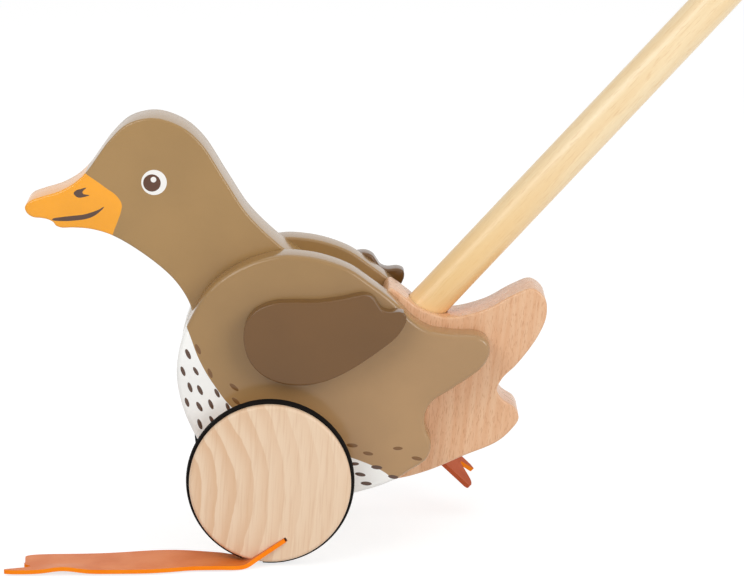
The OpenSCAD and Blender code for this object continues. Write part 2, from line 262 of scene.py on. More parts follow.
def soft_lamp(name, place, size, power):
    """A square area lamp that looks at LAMP_AIM, a point of the toy."""
    lamp = bpy.data.lights.new(name, "AREA")
    lamp.size = size
    lamp.energy = power
    made = bpy.data.objects.new(name, lamp)
    made.location = place
    towards = np.array(LAMP_AIM) - np.array(place)
    flat = np.hypot(towards[0], towards[1])
    made.rotation_euler = (np.arctan2(flat, -towards[2]), 0, np.arctan2(-towards[0], towards[1]))
    bpy.context.scene.collection.objects.link(made)


for name, settings in LAMPS.items():
    soft_lamp(name, *settings)
bpy.context.scene.view_settings.view_transform = "Standard"
print("world and", len(LAMPS), "lamps ready")

# %% [markdown]
# ## From rings to a solid
# Nearly every piece of this toy is a closed loop that is carried along something: a plate is its
# outline carried through the thickness, a dowel is a circle carried along an axis, a tyre is a small
# section carried round the rim. So one function turns an array of loops into a mesh.

# %% Mesh helpers
SHARP = np.radians(40)


def ring_faces(copies, rings, around, ends):
    """Quads between neighbouring loops, and what closes each copy, as arrays of corner numbers.

    Ends are "caps", one face across the first and last loop; "strips", quads across a loop that runs
    out along one side of a sheet and back along the other; or "joined", where the last loop meets
    the first.
    """
    first = np.arange(around)
    second = (first + 1) % around
    low = around * np.arange(rings if ends == "joined" else rings - 1)[:, None]
    high = (low + around) % (around * rings)
    quads = np.stack([low + first, low + second, high + second, high + first], -1).reshape(-1, 4)
    i = np.arange(around // 2 - 1)
    strip = np.stack([i, i + 1, around - 2 - i, around - 1 - i], 1)
    cap = {"caps": first[None], "strips": strip, "joined": np.zeros((0, 4), int)}[ends]
    closing = np.concatenate([cap[:, ::-1], cap + around * (rings - 1)])
    shift = (around * rings * np.arange(copies))[:, None, None]
    return (quads + shift).reshape(-1, 4), (closing + shift).reshape(-1, cap.shape[1])


def closed_mesh(name, loops, ends):
    """A mesh from loops in millimetres, smooth between its loops, with its faces turned outwards."""
    quads, closing = ring_faces(*loops.shape[:3], ends)
    mesh = bpy.data.meshes.new(name)
    mesh.from_pydata((loops.reshape(-1, 3) * MM).tolist(), [], quads.tolist() + closing.tolist())
    mesh.polygons.foreach_set("use_smooth", np.arange(len(mesh.polygons)) < len(quads))
    shell = bmesh.new()
    shell.from_mesh(mesh)
    bmesh.ops.recalc_face_normals(shell, faces=shell.faces)
    shell.to_mesh(mesh)
    shell.free()
    return mesh


def make_piece(name, loops, body, finishes, replaced=(), ends="caps", finish_of_faces=None):
    """A piece from loops in millimetres, of shape (copies, rings, around, 3) or one copy of that."""
    loops = np.asarray(loops, float)
    mesh = closed_mesh(name, loops if loops.ndim == 4 else loops[None], ends)
    for finish in finishes:
        mesh.materials.append(finish)
    if finish_of_faces is not None:
        mesh.polygons.foreach_set("material_index", np.asarray(finish_of_faces, np.int32))
    mesh.set_sharp_from_angle(angle=SHARP)
    made = bpy.data.objects.new(name, mesh)
    bpy.context.scene.collection.objects.link(made)
    if body:
        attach(made, body)
    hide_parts(*replaced)
    print(name, len(mesh.vertices), "points")
    return made


# %% [markdown]
# ## Outlines
# The saw follows smooth outlines. Each is a short list of points, in millimetres from the axle, with a
# curve drawn through them: a centripetal Catmull-Rom curve, which passes every point without loops.

# %% Curves
def smooth_curve(points, steps, closed=True):
    """Curve through points. Each piece blends three straight lines, weighted by root distances."""
    points = np.asarray(points, float)
    if closed:
        padded = np.concatenate([points[-1:], points, points[:2]])
    else:
        padded = np.concatenate([2 * points[:1] - points[1:2], points, 2 * points[-1:] - points[-2:-1]])
    a, b, c, d = (padded[k:len(padded) - 3 + k, None, :] for k in range(4))
    tb = np.sqrt(np.linalg.norm(b - a, axis=2, keepdims=True))
    tc = tb + np.sqrt(np.linalg.norm(c - b, axis=2, keepdims=True))
    td = tc + np.sqrt(np.linalg.norm(d - c, axis=2, keepdims=True))
    t = tb + (np.arange(steps) / steps)[None, :, None] * (tc - tb)

    def between(p, q, start, end):
        """Straight line that is at p at the start and at q at the end."""
        return ((end - t) * p + (t - start) * q) / (end - start)

    ab, bc, cd = between(a, b, 0, tb), between(b, c, tb, tc), between(c, d, tc, td)
    curve = between(between(ab, bc, 0, tc), between(bc, cd, tb, td), tb, tc).reshape(-1, 2)
    return curve if closed else np.concatenate([curve, points[-1:]])


def moved_in(curve, distance):
    """A clockwise closed curve moved to its inside by a distance, square to itself."""
    along = np.roll(curve, -1, axis=0) - np.roll(curve, 1, axis=0)
    inwards = np.stack([along[:, 1], -along[:, 0]], 1) / np.linalg.norm(along, axis=1, keepdims=True)
    return curve + distance * inwards


def on_side(flat, depth):
    """Outline points as points in space, at one depth; the left side of the duck is at -Y."""
    return np.stack([flat[..., 0], np.full(flat.shape[:-1], depth), flat[..., 1] + AXLE_Z], -1)


# %% [markdown]
# ## Plates with rounded edges
# The plates are cut, then their edges are rounded over and sanded. The loops start inside one face, go
# out round a quarter circle, cross the thickness and come back round the other quarter circle.

# %% Plate
EDGE_R = 1.0
EDGE_STEPS = 7
CURVE_STEPS = 10


def plate_loops(outline, low, high, far_edge=EDGE_R):
    """Outline loops from depth low to high: moved in by r(1-sin a) and r(1-cos a) off each face.

    The radius r is EDGE_R at the low face and far_edge at the high one.
    """
    curve = smooth_curve(outline, CURVE_STEPS)
    angle = np.linspace(0, np.pi / 2, EDGE_STEPS)
    inset, rise = 1 - np.sin(angle), np.sign(high - low) * (1 - np.cos(angle))
    insets = np.concatenate([EDGE_R * inset, far_edge * inset[::-1]])
    depths = np.concatenate([low + EDGE_R * rise, high - far_edge * rise[::-1]])
    return np.stack([on_side(moved_in(curve, i), d) for i, d in zip(insets, depths)])


HEAD_OUTLINE = [
    (-93.5, 100.7), (-91.7, 103), (-87.3, 104.7), (-80.3, 106.9), (-74.5, 110.1), (-69.9, 114.3),
    (-65.8, 119.9), (-60.9, 126.5), (-53.8, 132.9), (-43.8, 135.1), (-33.3, 131.6), (-26, 125.2),
    (-16.7, 110.5), (-8.4, 97.7), (3.8, 85.7), (14.2, 78.2), (21, 68), (22, 54), (18, 36), (8, 22),
    (-6, 18), (-17, 25), (-24, 40), (-29.3, 57.8), (-32.2, 65.4), (-37.8, 73.4), (-48.9, 82.8),
    (-60.5, 89.8), (-68.4, 92.2), (-75.3, 92.8), (-79.9, 92.8), (-81.8, 93.6), (-82.9, 95),
    (-84.9, 96), (-87.3, 96.5), (-90.5, 96.9), (-92.7, 98.4),
]
TAIL_OUTLINE = [
    (42.6, 63.5), (44, 67.6), (45.8, 69.1), (48, 68), (52, 65), (57, 61.2), (67.5, 57.6), (82, 60.5),
    (93.2, 66.4), (100.3, 68.8), (105.1, 65), (105.8, 58.2), (102.7, 50.2), (94.7, 39.1), (88.9, 33.2),
    (87, 28.7), (89.6, 24.8), (94.1, 21.6), (95.4, 17.4), (92.4, 12.8), (87, 8.1), (74.2, 2.6),
    (60.2, -3.4), (48, -6.5), (40, -6), (32.5, 2), (29, 18), (28.5, 34), (31.5, 46), (38, 57),
]
PANEL_OUTLINE = [
    (-35.5, 43.5), (-32, 56.4), (-22, 72.5), (-9, 81), (4, 84.5), (13, 84.2), (21, 82.6), (30.5, 78.9),
    (38.4, 73.4), (46.4, 67.2), (54.6, 58.7), (61, 55), (70, 53.5), (79.3, 52.9), (82.9, 50.4),
    (83.5, 46.3), (80.8, 40.9), (68.5, 31.9), (61.6, 27.2), (59, 22), (59.3, 16.6), (61.3, 11),
    (59.8, 5), (53.4, 0.3), (46, -4.2), (30, -9.2), (11, -11.9), (-9, -6.6), (-22.4, 4.1), (-31.7, 20),
    (-35.4, 33.4),
]
WING_OUTLINE = [
    (-9.9, 54), (-8.9, 60.2), (-5.2, 64.8), (1, 67.5), (9, 68.1), (18, 68.1), (27, 69.2), (36, 70.8),
    (39.2, 69.5), (40.9, 67.2), (42.4, 65.1), (44.8, 64.2), (49.1, 64.4), (51.3, 63.4), (51.6, 60.8),
    (48.1, 54.8), (41.7, 49.5), (34, 44.1), (26.6, 39.8), (19, 36.9), (11, 35.9), (3.5, 36.9),
    (-3.8, 40.6), (-8.3, 46.6),
]
outlines = (HEAD_OUTLINE, TAIL_OUTLINE, PANEL_OUTLINE, WING_OUTLINE)
print("points of the outlines:", [len(outline) for outline in outlines])

# %% [markdown]
# ## Satin paint
# The body is sprayed with a satin brown, masked for the orange beak and the white breast. The masks
# are drawn as curves: at each place along the line, a Float Curve node gives where the edge runs, and
# a point is painted if it lies on the right side of it. On the panels the brown is painted darker
# towards the upper left: painted shade.

# %% Paint
BROWN = colour(169, 133, 82)
PANEL_BROWN = colour(176, 139, 96)
# Painted shade: the panels' brown where they darken towards the upper left.
PANEL_SHADED_BROWN = colour(163, 128, 81)
DARK_BROWN = colour(113, 77, 34)
BEAK_ORANGE = colour(255, 171, 36)
BREAST_WHITE = colour(252, 252, 249)
BEAK_EDGE = [
    (87.3, -60.6), (90.8, -59.9), (95.5, -58.1), (99.8, -56.7), (101.7, -56.5), (104, -57.5),
    (108.7, -63), (113.3, -69.4), (117.3, -75.1),
]
BREAST_EDGE = [
    (-37.1, 67.7), (-31.6, 56.5), (-26.8, 43.6), (-20.4, 32.6), (-14.8, 25.5), (-0.1, 14.7),
    (15.9, 9.7), (31.5, 5.3), (42.6, 0.3), (46.9, -2.9), (61.9, -12.3),
]
PAINT_EDGE = 0.15
PAINTED_SHADE_BAND = (-65, 25)
NOISE_CORE, NOISE_REACH = (0.3, 0.7), (0.2, 0.8)
PAINT_CLOUD, SPRAY_GRAIN = (0.03,) * 3, (0.0011,) * 3
PAINT_SHADE, PAINT_ROUGHNESS = (0.94, 1.04), (0.16, 0.22)


def painted_side(tree, along, across, line):
    """1 where the across coordinate, in millimetres, is below the drawn line, and 0 above it."""
    points = np.array(line, float)
    low, high = points.min(0), points.max(0)
    shares = (points - low) / (high - low)
    start = math_node(tree, "DIVIDE", math_node(tree, "SUBTRACT", along, low[0]), high[0] - low[0])
    curve = node(tree, "FloatCurve", {"Value": start})
    knots = curve.mapping.curves[0].points
    knots[0].location, knots[1].location = shares[0], shares[-1]
    for share in shares[1:-1]:
        knots.new(*share)
    curve.mapping.update()
    edge = math_node(tree, "MULTIPLY_ADD", curve.outputs[0], high[1] - low[1], low[1])
    above = math_node(tree, "SUBTRACT", across, edge)
    return spread(tree, above, -PAINT_EDGE, PAINT_EDGE, 1.0, 0.0)


def paint_finish(name, ground, second=None, line=None, along_height=False, deep=None):
    """Satin paint: faint clouds, a fine sprayed surface, and a second masked colour.

    The deep colour is painted shade: it takes over as x - z falls through the band of painted shade.
    """
    material, tree, shader = new_finish(name)
    place = node(tree, "TexCoord").outputs["Object"]
    axes = node(tree, "SeparateXYZ", {"Vector": place}).outputs
    x = math_node(tree, "DIVIDE", axes["X"], MM)
    z = math_node(tree, "SUBTRACT", math_node(tree, "DIVIDE", axes["Z"], MM), AXLE_Z)
    base = ground
    if deep:
        # Painted shade: darker towards the upper left, as x - z falls.
        slant = math_node(tree, "SUBTRACT", x, z)
        base = mix_colour(tree, spread(tree, slant, *PAINTED_SHADE_BAND), deep, ground)
    if line:
        along, across = (z, x) if along_height else (x, z)
        base = mix_colour(tree, painted_side(tree, along, across, line), base, second)
    clouds = noise(tree, grain_place(tree, PAINT_CLOUD), detail=4.0)
    shade = spread(tree, clouds, *NOISE_CORE, *PAINT_SHADE)
    grey = node(tree, "CombineColor", {"Red": shade, "Green": shade, "Blue": shade}).outputs[0]
    tree.links.new(mix_colour(tree, 1.0, base, grey, "MULTIPLY"), shader.inputs["Base Color"])
    fine = noise(tree, grain_place(tree, SPRAY_GRAIN), detail=3.0)
    tree.links.new(spread(tree, fine, *NOISE_REACH, *PAINT_ROUGHNESS), shader.inputs["Roughness"])
    raise_surface(tree, shader, fine, depth_mm=0.02, strength=0.2)
    return material


head_paint = paint_finish("head_paint", BROWN, BEAK_ORANGE, BEAK_EDGE, along_height=True)
panel_paint = paint_finish("panel_paint", PANEL_BROWN, BREAST_WHITE, BREAST_EDGE, deep=PANEL_SHADED_BROWN)
wing_paint = paint_finish("wing_paint", DARK_BROWN)
print("paints:", head_paint.name, panel_paint.name, wing_paint.name)

# %% [markdown]
# ## Bare beech
# The tail is lacquered beech, seen on its flat-sawn face: a warm pink ground with many short dark
# flecks that run along the grain, a little off upright. Noise that is stretched along the grain gives
# broad streaks, and the same noise, finer and cut at a threshold, gives the flecks.

# %% Wood
STREAK, PORE = (0.0028, 0.0028, 0.05), (0.0003, 0.0003, 0.0024)
FLECK_BAND, FLECK_SHARE = (0.56, 0.72), 0.48
WOOD_ROUGHNESS = (0.24, 0.34)


def wood_finish(name, pale, deep, fleck, turn, streak=STREAK, pore=PORE):
    """Lacquered wood: streaks between two colours, short darker flecks, and pores that catch light."""
    material, tree, shader = new_finish(name)
    streaks = noise(tree, grain_place(tree, streak, turn), detail=3.0)
    fine = noise(tree, grain_place(tree, pore, turn), detail=1.0)
    flecks = spread(tree, fine, *FLECK_BAND)
    ground = mix_colour(tree, spread(tree, streaks, *NOISE_CORE), pale, deep)
    share = math_node(tree, "MULTIPLY", flecks, FLECK_SHARE)
    tree.links.new(mix_colour(tree, share, ground, fleck), shader.inputs["Base Color"])
    tree.links.new(spread(tree, streaks, *NOISE_REACH, *WOOD_ROUGHNESS), shader.inputs["Roughness"])
    hollow = math_node(tree, "SUBTRACT", 1.0, flecks)
    raise_surface(tree, shader, hollow, depth_mm=0.03, strength=0.2)
    return material


TAIL_LEAN = (0, np.radians(6), 0)
BEECH = colour(236, 192, 153), colour(226, 174, 132), colour(186, 122, 78)
tail_beech = wood_finish("tail_beech", *BEECH, TAIL_LEAN)
print("wood:", tail_beech.name)

# %% [markdown]
# ## Head, tail, panels and wings
# The head and tail plates are the thick core, the panels close on them from both sides, and the wings
# sit on the panels. A panel's outer edge is rounder than the rest. It has the bore of the axle in it,
# too: its loops go on from the rounded edge to a circle round the axle, point by point along the same
# spoke, through the bore and back to the start.

# %% Body plates
BORE_R = 4.1
PANEL_EDGE, WING_EDGE = 1.8, 0.6
SIDES = {"left": -1, "right": 1}
WING_LIFT = {side: float(corners(side + "_wing")[0][2] - corners("left_wing")[0][2]) for side in SIDES}


def with_bore(loops, radius):
    """Plate loops carried on to a circle round the axle: each point moves along its own spoke."""
    spoke = loops[0] - (0, 0, AXLE_Z)
    ring = spoke[:, ::2] / np.linalg.norm(spoke[:, ::2], axis=1, keepdims=True) * radius
    return np.concatenate([loops, [on_side(ring, loops[-1, 0, 1]), on_side(ring, loops[0, 0, 1])]])


head_loops = plate_loops(HEAD_OUTLINE, -CORE, CORE)
make_piece("head", head_loops, "duck_body", [head_paint], ["head_plate"])
tail_loops = plate_loops(TAIL_OUTLINE, -CORE, CORE)
tail = make_piece("tail", tail_loops, "duck_body", [tail_beech], ["tail_plate"])
for side, sign in SIDES.items():
    flat = plate_loops(PANEL_OUTLINE, sign * PANEL_IN, sign * PANEL_OUT, PANEL_EDGE)
    panel = with_bore(flat, BORE_R)
    node_name = side + "_side_panel"
    make_piece(side + "_panel", panel, "duck_body", [panel_paint], [node_name], "joined")
    flat = plate_loops(WING_OUTLINE, sign * PANEL_OUT, sign * WING_OUT, WING_EDGE)
    wing = flat + (0, 0, WING_LIFT[side])
    node_name = side + "_wing"
    make_piece(node_name + "_plate", wing, "duck_body", [wing_paint], [node_name])

# %% [markdown]
# ## Printed eye, beak lines and speckles
# The marks are printed on the paint, a hair thicker than it. Each is a closed outline that becomes a
# thin pad: its loops start inside the plate and end in a slightly smaller top. Left and right are
# printed alike.

# %% Eye and beak lines
PRINT_ROOT, PRINT_TOP = -0.2, 0.05
IRIS_TOP, GLINT_TOP = 0.08, 0.11
PRINT_SHOULDER, PRINT_TAPER = 0.6, 0.96
MARK_STEPS = 6


def printed(name, outlines, face, finish, height=PRINT_TOP):
    """Pads from outlines of shape (copies, around, 2), on both faces of the body at +-face."""
    outlines = np.asarray(outlines, float)
    middle = outlines.mean(1, keepdims=True)
    small = middle + (outlines - middle) * PRINT_TAPER
    rings = ((outlines, PRINT_ROOT), (outlines, height * PRINT_SHOULDER), (small, height))
    pads = [np.stack([on_side(o, sign * (face + h)) for o, h in rings], 1) for sign in (-1, 1)]
    make_piece(name, np.concatenate(pads), "duck_body", [finish])


def ovals(marks, around=28):
    """Outlines of ovals: marks give middle x and z, half length, half width and lean in degrees."""
    x, z, long, wide, lean = (np.array(column)[:, None] for column in zip(*marks))
    turn = np.linspace(0, 2 * np.pi, around, endpoint=False)[None]
    lean = np.radians(lean)
    up, out = long * np.cos(turn), wide * np.sin(turn)
    across = x + up * np.sin(lean) + out * np.cos(lean)
    return np.stack([across, z + up * np.cos(lean) - out * np.sin(lean)], -1)


dark_print = paint_finish("dark_print", colour(92, 66, 52))
brown_print = paint_finish("brown_print", colour(124, 86, 46))
iris_print = paint_finish("iris_print", colour(96, 58, 36))
white_print = paint_finish("white_print", colour(253, 251, 247))
EYE_MARK = (-44.1, 110.4, 4.85, 4.85, 0)
IRIS_MARK = (-44.9, 110.2, 3.35, 3.35, 0)
GLINT_MARK = (-44.3, 111.5, 1.1, 1.1, 0)
NOSTRIL = [
    (-74.7, 106.4), (-73.7, 107.4), (-72, 107.9), (-69.9, 108.4), (-71.3, 106.9), (-71.1, 106),
    (-68.8, 105.5), (-70.7, 104.8), (-73, 104.6), (-74.3, 105.4),
]
MOUTH = [
    (-83, 95.9), (-82.9, 96.4), (-79.7, 97), (-75.4, 97.5), (-71.1, 98), (-67.3, 99.1), (-64.6, 100.2),
    (-63.2, 101), (-63.4, 100.6), (-66.4, 97.9), (-69.4, 96.5), (-74.3, 95.7), (-79.2, 95.5),
]
printed("eye_white", ovals([EYE_MARK], around=64), CORE, white_print)
printed("iris", ovals([IRIS_MARK], around=48), CORE, iris_print, IRIS_TOP)
printed("eye_glint", ovals([GLINT_MARK]), CORE, white_print, GLINT_TOP)
printed("nostril", [smooth_curve(NOSTRIL, MARK_STEPS)], CORE, dark_print)
printed("mouth", [smooth_curve(MOUTH, MARK_STEPS)], CORE, dark_print)

# %% [markdown]
# The speckles are slim ovals in groups, each group with its own lean, dark on the white paint and
# lighter on the brown. A sine and a cosine make them a little different from each other.

# %% Speckles
BREAST_SPOTS = [
    (-31.3, 46.4), (-33.3, 39.7), (-28.4, 39.7), (-30.7, 33.4), (-26.9, 32.3), (-20.4, 31.1),
    (-31.9, 27.5), (-27.2, 25.8), (-22.8, 26.7), (-16.3, 25.5), (-22.4, 20.4), (-27.1, 18.9),
]
BREAST_SPOTS_BROWN = [(-27.5, 48.3), (-23, 38.9)]
LOW_SPOTS_BROWN = [(-13.9, 33.4), (-13.2, 27.9)]
RUMP_SPOTS = [(40.5, 1.7), (46.8, -2.1), (31.9, 3.1), (34.2, -1.1), (36.5, -4.7)]
RUMP_SPOTS_BROWN = [(31.1, 10.4), (37.2, 7.2), (48.6, 9.2), (55.9, 5.2)]
BREAST_LEAN, LOW_LEAN, RUMP_LEAN = -24, -50, -84
LEAN_CHANGE, LEAN_PHASE = 6, 2.4
SPOT_LENGTH, LENGTH_CHANGE, LENGTH_PHASE = 2.0, 0.15, 1.7
SPOT_SLIM = 0.36


def spots(places, lean):
    """Marks of one group: the lean follows a sine, and the half length a cosine, of their number."""
    step = np.arange(len(places))
    leans = lean + LEAN_CHANGE * np.sin(LEAN_PHASE * step)
    longs = SPOT_LENGTH + LENGTH_CHANGE * np.cos(LENGTH_PHASE * step)
    return [(x, z, long, SPOT_SLIM * long, a) for (x, z), long, a in zip(places, longs, leans)]


dark_spots = spots(BREAST_SPOTS, BREAST_LEAN) + spots(RUMP_SPOTS, RUMP_LEAN)
brown_spots = spots(BREAST_SPOTS_BROWN, BREAST_LEAN) + spots(LOW_SPOTS_BROWN, LOW_LEAN)
brown_spots += spots(RUMP_SPOTS_BROWN, RUMP_LEAN)
printed("dark_spots", ovals(dark_spots), PANEL_OUT, dark_print)
printed("brown_spots", ovals(brown_spots), PANEL_OUT, brown_print)

# %% [markdown]
# ## Wheels
# The wheels are sawn across a small trunk, so their faces show growth rings: pale at the start of
# each year, darker at its end, and then a sharp step. The rings are distances from the pith, which
# lies to the left of the wheel, bent by noise, and they fade towards the right.

# %% Wheel wood
PITH = (-47.1, -4.0)
RING_WIDTH = 6.3
RING_FLAT = 0.75
ANY_DEPTH = 1e3
WIDE_CLOUD, WIDE_BEND = (0.022, 0.06, 0.03), 7.0
CLOSE_CLOUD, CLOSE_BEND = (0.003, 0.03, 0.007), 1.4
YEAR_DARKENS, YEAR_STEP = (0.1, 0.92), (0.95, 1.0)
RINGS_FADE, FADED = (-0.02, 0.016), 0.3
RING_PALE, RING_DARK = colour(236, 208, 178), colour(224, 186, 150)
FINE_LINE, LINE_LEAN = (0.0007, 0.01, 0.016), (0, np.radians(4), 0)
LINE_COLOUR, LINE_BAND, LINE_SHARE = colour(214, 172, 134), (0.45, 0.75), 0.4
WHEEL_ROUGHNESS = (0.4, 0.5)


def wheel_finish():
    """Growth rings as a saw over the distance from the pith, with fine upright lines on top.

    The cells are as deep as ANY_DEPTH, so the rings run straight through the wheel.
    """
    material, tree, shader = new_finish("wheel_wood")
    pith = (PITH[0] * MM, 0, (AXLE_Z + PITH[1]) * MM)
    place = grain_place(tree, (MM, ANY_DEPTH, MM / RING_FLAT), middle=pith)
    distance = node(tree, "VectorMath", {0: place}, operation="LENGTH").outputs["Value"]
    wide = noise(tree, grain_place(tree, WIDE_CLOUD), detail=1.0)
    close = noise(tree, grain_place(tree, CLOSE_CLOUD), detail=2.0)
    bent = math_node(tree, "MULTIPLY_ADD", wide, WIDE_BEND, distance)
    bent = math_node(tree, "MULTIPLY_ADD", close, CLOSE_BEND, bent)
    year = math_node(tree, "FRACT", math_node(tree, "DIVIDE", bent, RING_WIDTH))
    late = spread(tree, year, *YEAR_DARKENS)
    late = math_node(tree, "MULTIPLY", late, spread(tree, year, *YEAR_STEP, 1.0, 0.0))
    x = node(tree, "SeparateXYZ", {"Vector": node(tree, "TexCoord").outputs["Object"]}).outputs["X"]
    late = math_node(tree, "MULTIPLY", late, spread(tree, x, *RINGS_FADE, 1.0, FADED))
    ground = mix_colour(tree, late, RING_PALE, RING_DARK)
    lines = noise(tree, grain_place(tree, FINE_LINE, LINE_LEAN), detail=3.0)
    share = spread(tree, lines, *LINE_BAND, 0.0, LINE_SHARE)
    tree.links.new(mix_colour(tree, share, ground, LINE_COLOUR), shader.inputs["Base Color"])
    tree.links.new(spread(tree, lines, *NOISE_REACH, *WHEEL_ROUGHNESS), shader.inputs["Roughness"])
    raise_surface(tree, shader, lines, depth_mm=0.02, strength=0.4)
    return material


wheel_wood = wheel_finish()
print("wood:", wheel_wood.name)

# %% [markdown]
# The rim is rounded at both faces and has a shallow groove for the tyre. A straight slot runs in from
# the rim and takes the foot's strap. Every loop is a circle with the slot cut in: it runs from one slot
# wall round to the other, and two corner points close the slot's end. The slot fits the leather, whose
# thickness is the top of the left foot's box, since that foot lies on the floor.

# %% Wheels
SLOT_TURN = np.radians(33)
SLOT_OFF = 21.3
SLOT_DEPTH = 15.6
SLOT_END = np.sqrt(WHEEL_R ** 2 - SLOT_OFF ** 2) - SLOT_DEPTH
LEATHER = float(corners("left_foot")[1][2])
GLUE_ROOM = 0.05
SLOT_HALF = LEATHER / 2 + GLUE_ROOM
RIM_ROUND = 1.4
TYRE_THICK, TYRE_INSET = 2.0, 2.7
WHEEL_STEPS = 220
ALONG = np.array([np.cos(SLOT_TURN), np.sin(SLOT_TURN)])
SQUARE = np.array([-np.sin(SLOT_TURN), np.cos(SLOT_TURN)])


def wheel_outline(radius):
    """A circle from the slot's upper wall round to its lower wall, closed by the slot's end."""
    low, high = -SLOT_OFF - SLOT_HALF, -SLOT_OFF + SLOT_HALF
    start, stop = (np.arctan2(n, -np.sqrt(radius ** 2 - n ** 2)) % (2 * np.pi) for n in (high, low))
    turn = np.linspace(start, stop - 2 * np.pi, WHEEL_STEPS)
    flat = np.concatenate([
        radius * np.stack([np.cos(turn), np.sin(turn)], 1), [(-SLOT_END, low), (-SLOT_END, high)],
    ])
    return flat[:, :1] * ALONG + flat[:, 1:] * SQUARE


def half_turn(points):
    """The right side's copy of a left wheel piece: mirrored, and half a turn further round the axle."""
    return (0, 0, 2 * AXLE_Z) - points


def both_sides(loops):
    """Name of each side with its own loops, from the left side's."""
    return (("left", loops), ("right", half_turn(loops)))


quarter = np.linspace(0, np.pi / 2, EDGE_STEPS)
corner_r = WHEEL_R - RIM_ROUND * (1 - np.sin(quarter))
corner_y = RIM_ROUND * (1 - np.cos(quarter))
groove_r = TYRE_R - TYRE_THICK
width = WHEEL_OUT - WHEEL_IN
wheel_r = np.concatenate([corner_r, [WHEEL_R, groove_r, groove_r, WHEEL_R], corner_r[::-1]])
groove_y = [TYRE_INSET, TYRE_INSET, width - TYRE_INSET, width - TYRE_INSET]
wheel_y = np.concatenate([corner_y, groove_y, width - corner_y[::-1]])
wheel_loops = np.stack([on_side(wheel_outline(r), -WHEEL_IN - y) for r, y in zip(wheel_r, wheel_y)])
for side, loops in both_sides(wheel_loops):
    make_piece(side + "_disc", loops, "wheelset", [wheel_wood], [side + "_wheel"])

# %% [markdown]
# ## Tyres
# A strip of black rubber lies in the groove and stops short of the strap on both sides. Its section is
# a superellipse, a little squarer than an ellipse, which is carried round the rim. The rubber is matte,
# with faint marks along its run.

# %% Tyres
TYRE_GAP = 8.0
TYRE_STEPS, SECTION_STEPS = 180, 32
SQUARENESS = 0.85
RUBBER, DUSTY_RUBBER = colour(11, 9, 8), colour(20, 17, 15)
DUST, RUBBER_ROUGHNESS = (0.004, 0.001, 0.004), (0.7, 0.85)
DULL = 0.1


def rubber_finish():
    """Near-black rubber with a dusty sheen that changes along the tyre."""
    material, tree, shader = new_finish("tyre_rubber")
    dust = noise(tree, grain_place(tree, DUST), detail=3.0)
    base = mix_colour(tree, spread(tree, dust, *NOISE_CORE), RUBBER, DUSTY_RUBBER)
    tree.links.new(base, shader.inputs["Base Color"])
    tree.links.new(spread(tree, dust, *NOISE_REACH, *RUBBER_ROUGHNESS), shader.inputs["Roughness"])
    shader.inputs["Specular IOR Level"].default_value = DULL
    raise_surface(tree, shader, dust, depth_mm=0.02, strength=0.3)
    return material


tyre_rubber = rubber_finish()
mouth = SLOT_TURN + np.arctan2(-SLOT_OFF, -np.sqrt(WHEEL_R ** 2 - SLOT_OFF ** 2))
half_gap = TYRE_GAP / WHEEL_R / 2
sweep = np.linspace(mouth + half_gap, mouth + 2 * np.pi - half_gap, TYRE_STEPS)[:, None]
turn = np.linspace(0, 2 * np.pi, SECTION_STEPS, endpoint=False)


def soft(value):
    """A power below 1 that keeps the sign, which squares up a circle a little."""
    return np.sign(value) * np.abs(value) ** SQUARENESS


section_y = (width / 2 - TYRE_INSET) * soft(np.cos(turn))[None]
section_r = TYRE_R - TYRE_THICK / 2 + TYRE_THICK / 2 * soft(np.sin(turn))[None]
tyre_y = -(WHEEL_IN + WHEEL_OUT) / 2 - section_y
tyre_loops = np.stack(np.broadcast_arrays(
    section_r * np.cos(sweep), tyre_y, AXLE_Z + section_r * np.sin(sweep),
), -1)
for side, loops in both_sides(tyre_loops):
    make_piece(side + "_tyre_band", loops, "wheelset", [tyre_rubber], [side + "_tyre"])

# %% [markdown]
# ## Turned pieces
# The spacer rings, the push stick and the ball knob are turned on a lathe, and so are their meshes: a
# profile of distances and radii, spun about an axis. The axle and the dowels, which hardly show, keep
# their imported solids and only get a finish.

# %% Lathe
NEARLY_ALONG = 0.9
SPACER_BORE, SPACER_CHAMFER = 4.05, 0.6
DOWEL = colour(232, 198, 158), colour(218, 178, 134), colour(180, 132, 92)
DOWEL_TURN = (np.pi / 2, 0, 0)


def spun(start, direction, profile, around=64):
    """Loops about an axis: each profile point gives a distance along the axis and a radius."""
    direction = np.array(direction, float) / np.linalg.norm(direction)
    side = np.cross(direction, (0, 1, 0) if abs(direction[1]) < NEARLY_ALONG else (1, 0, 0))
    side /= np.linalg.norm(side)
    other = np.cross(direction, side)
    turn = np.linspace(0, 2 * np.pi, around, endpoint=False)[None, :, None]
    along, radius = (np.array(column, float)[:, None, None] for column in zip(*profile))
    return np.array(start) + along * direction + radius * (np.cos(turn) * side + np.sin(turn) * other)


def chamfered(length, radius, cut):
    """Profile of a bar whose two ends are cut off at 45 degrees."""
    return [(0, radius - cut), (cut, radius), (length - cut, radius), (length, radius - cut)]


dowel_wood = wood_finish("dowel_wood", *DOWEL, DOWEL_TURN)
for name in ("axle", "body_dowels", "wing_dowels"):
    frame["nodes"][name].data.materials.clear()
    frame["nodes"][name].data.materials.append(dowel_wood)
SPACER_R = float(corners("left_spacer")[1][0])
for side in SIDES:
    low, high = corners(side + "_spacer")
    length = high[1] - low[1]
    ring = [(0, SPACER_BORE), *chamfered(length, SPACER_R, SPACER_CHAMFER), (length, SPACER_BORE)]
    loops = spun((0, low[1], AXLE_Z), (0, 1, 0), ring)
    replaced = [side + "_spacer"]
    make_piece(side + "_ring", loops, "wheelset", [dowel_wood], replaced, "joined")
